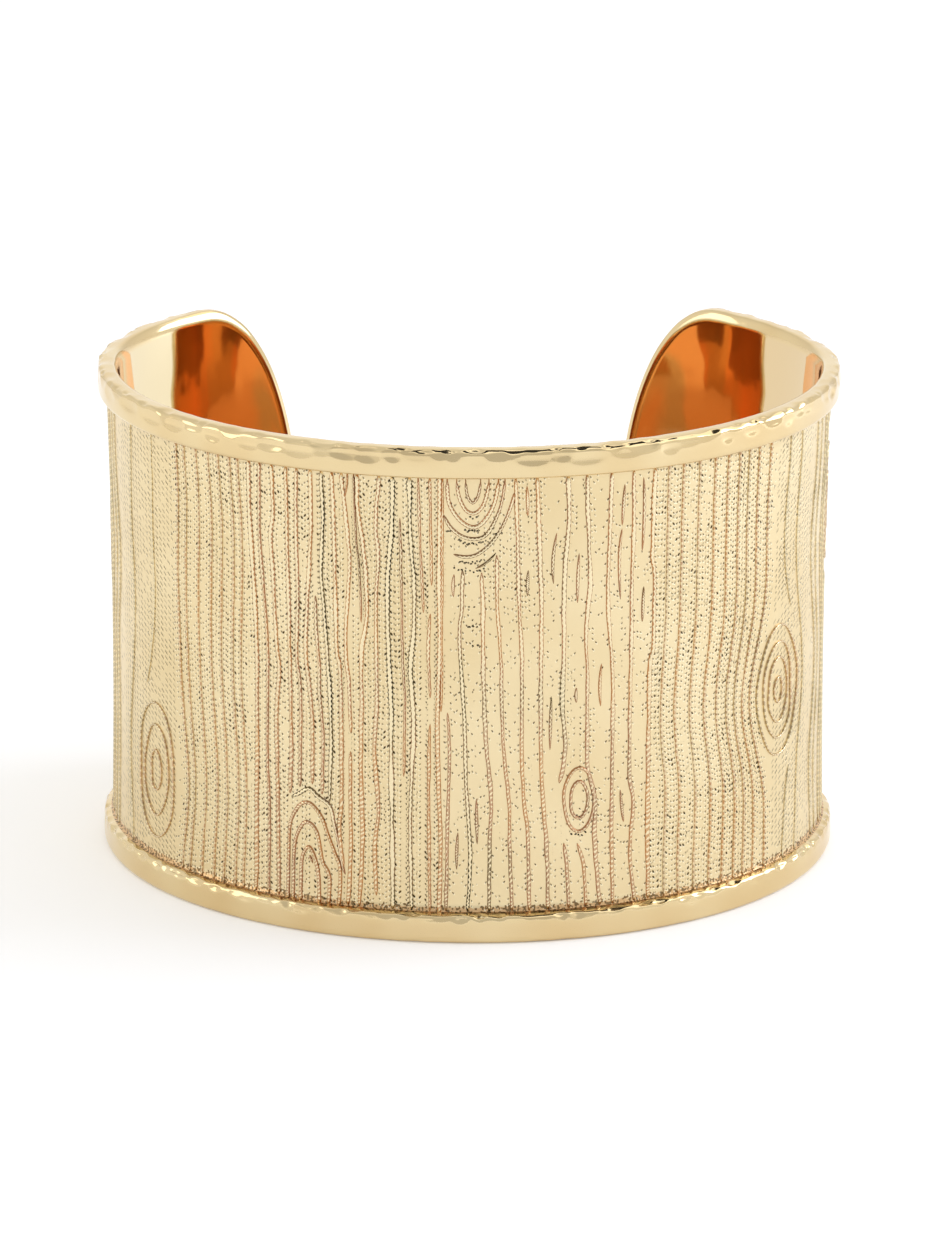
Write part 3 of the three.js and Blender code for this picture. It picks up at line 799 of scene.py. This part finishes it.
ribs = bmesh.new()
rib_layers = [ribs.verts.layers.float.new(name) for name in rib_layer_names]
for number, line in enumerate(grain_lines):
    wobble = number * 3.7
    if line["path"] is not None:
        path = [wavered(along, up, wobble) for along, up in to_border(line["path"])]
        first_free = path[0][1] < cuff_height - border_width
        last_free = path[-1][1] > border_width
        halves = half_widths(path, line["half"], first_free, last_free, wobble)
        add_rib(ribs, rib_layers, path, halves, line_height, False, line["tone"])
        continue
    half_band = band_half(line["along"])
    if half_band < 1.0:
        continue
    low = middle_height - half_band - line_lap
    high = middle_height + half_band + line_lap
    steps = max(4, round((high - low) / line_step))
    half = joint_half if line["joint"] else random.uniform(0.09, 0.12)
    tone = joint_tone if line["joint"] else random.uniform(-0.35, -0.15)
    if abs(line["along"]) > faint_from and not line["joint"]:
        tone -= faint_less
    path = []
    for k in range(steps + 2):
        up = low + (high - low) * min(k, steps) / steps
        blocked = meets_knot(line["along"], up) and not line["joint"]
        if k <= steps and not blocked:
            along = line_place(line, up)
            path.append((along, up) if line["joint"] else wavered(along, up, wobble))
            continue
        if len(path) > 4:
            first_free = path[0][1] > low + 0.1
            last_free = path[-1][1] < high - 0.1
            halves = half_widths(path, half, first_free, last_free, wobble)
            add_rib(ribs, rib_layers, path, halves, line_height, False, tone)
        path = []

# Needles: short splits in the smooth board, each a thin rib with pointed ends
needles = [
    [(5.5, 39.8), (5.6, 38.4), (5.6, 37.0)],
    [(8.15, 35.7), (7.6, 33.2), (7.9, 31.0)],
    [(10.1, 33.8), (9.95, 31.5), (10.0, 29.2)],
    [(14.1, 39.4), (14.0, 37.5), (13.9, 35.6)],
    [(13.95, 35.6), (13.5, 33.4), (13.9, 29.0)],
    [(15.8, 39.9), (16.1, 36.8), (15.8, 33.0)],
    [(16.05, 30.3), (16.0, 28.6), (15.95, 27.0)],
    [(12.25, 24.0), (11.95, 22.0), (12.2, 20.0)],
    [(7.8, 21.5), (7.7, 19.0), (7.7, 16.5)],
    [(5.7, 32.5), (5.6, 31.3), (5.65, 30.1)],
    [(10.0, 22.0), (9.9, 21.3), (10.0, 20.6)],
    [(1.35, 12.7), (1.4, 10.5), (1.45, 8.4)],
    [(-0.2, 9.7), (-0.35, 8.0), (-0.3, 6.2)],
    [(14.05, 12.7), (14.2, 11.0), (14.4, 9.6)],
    [(-0.6, 32.2), (-0.75, 31.2), (-0.65, 30.1)],
]
needle_steps = 14
needle_half = 0.18
needle_fullness = 0.6
needle_tone = 0.55
for ends in needles:
    path = []
    halves = []
    for k in range(needle_steps + 1):
        t = k / needle_steps
        weights = ((1 - t) ** 2, 2 * t * (1 - t), t * t)
        path.append(tuple(sum(w * point[axis] for w, point in zip(weights, ends)) for axis in (0, 1)))
        inside_needle = 0 < k < needle_steps
        halves.append(needle_half * math.sin(t * math.pi) ** needle_fullness if inside_needle else 0.0)
    add_rib(ribs, rib_layers, path, halves, line_height, False, needle_tone)

close_up(ribs, seam=0.5e-7, sliver=0.5e-7)
grain_object = as_object(ribs, "grain_lines")
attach(grain_object, "root")

# Gold plate on the ribs: brown-orange along both flanks, a painted shade, and a bright crest between, a
# painted highlight. The flanks are scalloped in turn, and low on the cuff slanting nicks in the same painted
# shade cross the crest too, so the lines look twisted like cord.
flank_width = 0.135
twist_pitch = 0.46
twist_depth = 0.035
nick_pitch = 0.4
nicks_from = 0.026
nicks_full = 0.014
nick_strength = 0.75
dash_pitch = 0.5
grit_per_metre = 3000.0
patches_per_metre = 150.0
rib_gold = bpy.data.materials.new("gold plate on raised grain lines")
tree = cleared_tree(rib_gold)
coords = add_node(tree, "ShaderNodeTexCoord").outputs["Object"]
height_up = add_node(tree, "ShaderNodeSeparateXYZ", coords).outputs["Z"]
half, way, tone, side = (add_node(tree, "ShaderNodeAttribute", attribute_name=name).outputs["Fac"]
                         for name in rib_layer_names)
grit, patches = (add_node(tree, "ShaderNodeTexNoise", {"Vector": coords, "Scale": scale,
                                                       "Detail": 1.0}).outputs["Fac"]
                 for scale in (grit_per_metre, patches_per_metre))
inwards = add_node(tree, "SUBTRACT", 1.0, add_node(tree, "ABSOLUTE", side))
from_edge = add_node(tree, "MULTIPLY", half, inwards)
loose_way = add_node(tree, "MULTIPLY_ADD", grit, 0.25, way)
twist = add_node(tree, "SINE", add_node(tree, "MULTIPLY", loose_way, 2 * math.pi / twist_pitch))
scallop = add_node(tree, "MULTIPLY", twist, add_node(tree, "SIGN", side))
scallop = add_node(tree, "MULTIPLY", scallop, patches)
edge_now = add_node(tree, "MULTIPLY_ADD", scallop, 2 * twist_depth, from_edge)
edge_now = add_node(tree, "ADD", edge_now, add_node(tree, "MULTIPLY_ADD", grit, 0.08, -0.04))
painted_flank_shade = add_node(tree, "ShaderNodeMapRange", edge_now, flank_width, flank_width * 0.7, 0.0, 1.0)
low_down = add_node(tree, "ShaderNodeMapRange", height_up, nicks_from, nicks_full, 0.0, nick_strength)
nick_way = add_node(tree, "MULTIPLY_ADD", side, 0.35, add_node(tree, "DIVIDE", loose_way, nick_pitch))
nick_wave = add_node(tree, "SINE", add_node(tree, "MULTIPLY", nick_way, 2 * math.pi))
nick = add_node(tree, "MULTIPLY", add_node(tree, "GREATER_THAN", nick_wave, -0.1), low_down)
nick = add_node(tree, "MULTIPLY", nick, add_node(tree, "LESS_THAN", tone, 0.7))
shade = add_node(tree, "MAXIMUM", painted_flank_shade, nick)

# Lines of the side boards have a tone below nought: their painted shade is fainter and broken into dashes
shade_strength = add_node(tree, "ShaderNodeMapRange", tone, -1.0, 0.0, 0.0, 1.0)
dash_wave = add_node(tree, "SINE", add_node(tree, "MULTIPLY", loose_way, 2 * math.pi / dash_pitch))
dash = add_node(tree, "GREATER_THAN", dash_wave, add_node(tree, "MULTIPLY_ADD", patches, 1.6, -1.1))
dash = add_node(tree, "MULTIPLY_ADD", dash, 0.75, 0.25)
dash = add_node(tree, "MAXIMUM", dash, add_node(tree, "GREATER_THAN", tone, -0.05))
shade = add_node(tree, "MULTIPLY", shade, add_node(tree, "MULTIPLY", shade_strength, dash))
tone_now = add_node(tree, "MAXIMUM", tone, add_node(tree, "MULTIPLY", tone, -1.5))
tone_now = add_node(tree, "MULTIPLY_ADD", add_node(tree, "SUBTRACT", patches, 0.5), 1.4, tone_now)
painted_shade_colour = add_node(tree, "ShaderNodeValToRGB", tone_now)
ramp = painted_shade_colour.color_ramp.elements
for element, position, colour in zip(ramp, (0.1, 0.85), ("#BE8A58", "#6A5A3A")):
    element.position = position
    element.color = linear(colour)
for position, colour in ((0.45, "#B08464"), (1.0, "#33291A")):
    ramp.new(position).color = linear(colour)
# Painted highlight on the crest, painted shade on the flanks and in the nicks
rib_colour = add_node(tree, "ShaderNodeMixRGB", shade, linear("#EBDAB2"), painted_shade_colour)
shader = add_node(tree, "ShaderNodeBsdfPrincipled", {
    "Base Color": rib_colour, "Metallic": 1.0, "Roughness": 0.25})
add_node(tree, "ShaderNodeOutputMaterial", shader)
grain_object.data.materials.append(rib_gold)

# Knot rings: the closed rings, hanging arcs and pointed arches of the wood's knots, cast as ribs
# like the grain lines and a little higher. Short punched slivers lie between the arcs.
knot_height = 0.16
knot_half = 0.17
side_from = 20.0
side_half = 0.11
side_tone = -0.38
rings = bmesh.new()
ring_layers = [rings.verts.layers.float.new(name) for name in rib_layer_names]
for knot in knots:
    at_side = abs(knot["along"]) > side_from
    for number, share in enumerate(knot["rings"]):
        length = math.pi * (knot["wide"] + knot["tall"]) * share
        steps = max(14, round(length / line_step))
        path = []
        for k in range(steps):
            turn = k / steps * 2 * math.pi
            place = Vector((math.cos(turn), math.sin(turn) + number, knot["along"]))
            wobble = 1 + 0.2 * noise.noise(place)
            path.append((knot["along"] + knot["wide"] * share * math.cos(turn) * wobble,
                         knot["up"] + knot["tall"] * share * math.sin(turn)))
        half = side_half if at_side else knot_half * (0.75 if share < 0.3 else 1)
        tone = side_tone if at_side else 0.7 - 0.2 * share
        add_rib(rings, ring_layers, path, [half] * steps, knot_height, True, tone)

# The knot that hangs from the upper border, and the pointed one that stands on the lower border
knot_lines = [
    dict(half=0.15, tone=0.5, path=[(0.35, 40), (0.5, 38.9), (0.95, 38.3), (1.4, 38.9), (1.6, 40)]),
    dict(half=0.19, tone=0.3, path=[(-0.4, 40), (-0.2, 38.8), (0.35, 37.7), (1.05, 37.4), (1.7, 37.9),
                                    (2.1, 38.9), (2.3, 40)]),
    dict(half=0.2, tone=0.3, path=[(-1.2, 40), (-1.05, 38.3), (-0.3, 37.0), (0.6, 36.3), (1.4, 36.3),
                                   (2.2, 37.1), (2.8, 38.4), (3.1, 40)]),
    dict(half=0.19, tone=0.6, path=[(-1.5, 37.3), (-1.0, 36.3), (-0.1, 35.5), (0.9, 35.2), (1.9, 35.4),
                                    (2.6, 36.3), (3.3, 38.0), (3.65, 40)]),
    dict(half=0.19, tone=0.6, path=[(-0.75, 33.9), (0.2, 33.65), (1.2, 33.8), (2.2, 34.5), (3.1, 35.6),
                                    (3.8, 37.0), (4.3, 38.4), (4.45, 39.2)]),
    dict(half=0.15, tone=0.75, path=[(1.1, 32.6), (1.9, 33.0), (2.6, 33.6), (3.0, 34.1)]),
    dict(half=0.17, tone=0.75, path=[(-15.2, 11.5), (-14.4, 11.9), (-13.4, 12.5), (-12.6, 11.9),
                                     (-11.5, 11.2), (-11.1, 9.8), (-10.7, 8.2), (-10.3, 6.1),
                                     (-10.0, 5.2)]),
    dict(half=0.2, tone=0.2, path=[(-15.4, 2.4), (-15.3, 8.2), (-15.0, 9.8), (-14.2, 11.0), (-13.3, 11.2),
                                   (-12.3, 10.2), (-11.7, 8.8), (-11.0, 7.1), (-10.5, 5.6), (-10.6, 2.4)]),
    dict(half=0.2, tone=0.3, path=[(-14.9, 2.4), (-14.8, 7.1), (-14.2, 9.0), (-13.5, 9.5), (-12.7, 8.8),
                                   (-12.3, 7.1), (-12.1, 6.1), (-11.5, 5.0), (-11.55, 2.4)]),
    dict(half=0.2, tone=0.3, path=[(-14.2, 2.4), (-14.1, 6.0), (-13.7, 7.1), (-13.3, 7.3), (-12.8, 6.3),
                                   (-12.5, 4.8), (-12.4, 2.4)]),
    dict(half=0.14, tone=0.5, path=[(-13.5, 6.1), (-13.3, 6.5), (-13.0, 5.8)]),
]
for number, line in enumerate(knot_lines):
    path = smoothed(line["path"], line_step * 0.7)
    if path[0][1] > cuff_height - border_width - near_border:
        path = [(path[0][0], cuff_height - border_width + line_lap)] + path
    if path[-1][1] > cuff_height - border_width - near_border:
        path = path + [(path[-1][0], cuff_height - border_width + line_lap)]
    halves = half_widths(path, line["half"], path[0][1] > border_width, path[-1][1] > border_width,
                         number * 2.9)
    add_rib(rings, ring_layers, path, halves, knot_height, False, line["tone"])

# Rows of punched slivers between the arcs: middle, half length of the row, and how many
sliver_rows = [
    dict(middle=(1.0, 37.05), reach=0.35, count=3, bend=0.1),
    dict(middle=(0.9, 35.85), reach=0.65, count=7, bend=0.15),
    dict(middle=(0.9, 34.75), reach=1.2, count=13, bend=0.35),
    dict(middle=(0.8, 33.15), reach=1.0, count=11, bend=0.2),
    dict(middle=(3.1, 35.6), reach=0.35, count=4, bend=0.0),
    dict(middle=(-1.0, 35.9), reach=0.3, count=4, bend=0.0),
    dict(middle=(0.7, 32.4), reach=1.4, count=9, bend=0.3),
    dict(middle=(0.9, 29.3), reach=0.5, count=2, bend=0.0),
    dict(middle=(1.0, 27.6), reach=0.5, count=3, bend=0.0),
    dict(middle=(1.2, 25.9), reach=0.4, count=2, bend=0.0),
    dict(middle=(10.3, 9.0), reach=0.8, count=5, bend=0.2),
    dict(middle=(10.3, 10.6), reach=0.35, count=3, bend=0.1),
]
sliver_height = 0.12
sliver_tone = 1.6
random.seed(3)
for sliver_row in sliver_rows:
    for k in range(sliver_row["count"]):
        share = 2 * (k + 0.5) / sliver_row["count"] - 1
        along = sliver_row["middle"][0] + share * sliver_row["reach"] + random.uniform(-0.05, 0.05)
        up = sliver_row["middle"][1] + sliver_row["bend"] * share ** 2 + random.uniform(-0.1, 0.1)
        turn = random.uniform(-0.9, 0.9)
        reach = random.uniform(0.12, 0.22)
        path = [(along + reach * step * math.cos(turn), up + reach * step * math.sin(turn))
                for step in (-1, 0, 1)]
        halves = [0.0, random.uniform(0.09, 0.13), 0.0]
        add_rib(rings, ring_layers, path, halves, sliver_height, False, sliver_tone)

close_up(rings, seam=0.5e-7, sliver=0.5e-7)
knot_rings = as_object(rings, "knot_rings")
knot_rings.data.materials.append(rib_gold)
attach(knot_rings, "root")

# Studio. A plain white floor under a white tent, lit so that the floor burns out to white. Two soft
# lamps stand low at the sides and light the floor there, the right one most.
floor_size = 3.0
paper_glow = 0.13
floor_shape = bmesh.new()
bmesh.ops.create_grid(floor_shape, x_segments=1, y_segments=1, size=floor_size)
studio_floor = as_object(floor_shape, "studio_floor")
paper = bpy.data.materials.new("matt white paper")
tree = cleared_tree(paper)
shader = add_node(tree, "ShaderNodeBsdfPrincipled", {
    "Base Color": linear("#FCFCFC"), "Roughness": 0.9, "Specular IOR Level": 0.1,
    "Emission Color": linear("#FFFFFF"), "Emission Strength": paper_glow})
add_node(tree, "ShaderNodeOutputMaterial", shader)
studio_floor.data.materials.append(paper)

# The tent by direction. A soft panel shines overhead, with the dark slot for the camera's hoist
# beside it. The front, round the camera, is a little dimmer, the back and the sides are brighter.
# start and full say how near to its way a part begins and is whole, as cosines.
tent_strength = 0.865
tent_parts = dict(
    screen=dict(way=(0.0, -0.85, 0.5), start=0.76, full=0.82, outside=1.0, inside=0.8),
    slot=dict(way=(0.18, 0.03, 0.98), start=0.93, full=0.94, outside=1.0, inside=0.03),
    panel=dict(way=(0.4, 0.0, 0.92), start=0.76, full=0.86, outside=0.0, inside=0.75),
    back=dict(way=(0.0, 0.95, 0.31), start=0.8, full=0.95, outside=0.0, inside=0.25),
)
tent = bpy.data.worlds.new("white tent")
bpy.context.scene.world = tent
tree = cleared_tree(tent)
direction = add_node(tree, "ShaderNodeTexCoord").outputs["Generated"]
light_of = {}
for name, part in tent_parts.items():
    towards = add_node(tree, "ShaderNodeVectorMath", direction, Vector(part["way"]).normalized(),
                       operation="DOT_PRODUCT").outputs["Value"]
    light_of[name] = add_node(tree, "ShaderNodeMapRange", towards, part["start"], part["full"],
                              part["outside"], part["inside"])
sideways = add_node(tree, "ABSOLUTE", add_node(tree, "ShaderNodeSeparateXYZ", direction))
sides = add_node(tree, "ShaderNodeMapRange", sideways, 0.5, 0.95, 0.0, 0.16)
strength = add_node(tree, "MULTIPLY_ADD", light_of["screen"], tent_strength, light_of["panel"])
for more in (light_of["back"], sides):
    strength = add_node(tree, "ADD", strength, more)
strength = add_node(tree, "MULTIPLY", strength, light_of["slot"])
glow = add_node(tree, "ShaderNodeBackground", {"Color": linear("#FFFFFF"), "Strength": strength})
add_node(tree, "ShaderNodeOutputWorld", glow)

lamps = [
    dict(name="right lamp", place=(0.4, 0.05, 0.2), aim=(0.15, 0.0, 0.0), power=0.75, colour="#DCE6FF"),
    dict(name="left lamp", place=(-0.4, -0.12, 0.2), aim=(-0.07, -0.05, 0.0), power=0.22,
         colour="#FFFFFF"),
]
lamp_size = 0.25
for lamp in lamps:
    light = bpy.data.lights.new(lamp["name"], "AREA")
    light.energy = lamp["power"]
    light.color = linear(lamp["colour"])[:3]
    light.size = lamp_size
    lamp_object = bpy.data.objects.new(lamp["name"], light)
    bpy.context.scene.collection.objects.link(lamp_object)
    lamp_object.location = lamp["place"]
    aim = Vector(lamp["aim"]) - Vector(lamp["place"])
    lamp_object.rotation_euler = aim.to_track_quat("-Z", "Y").to_euler()
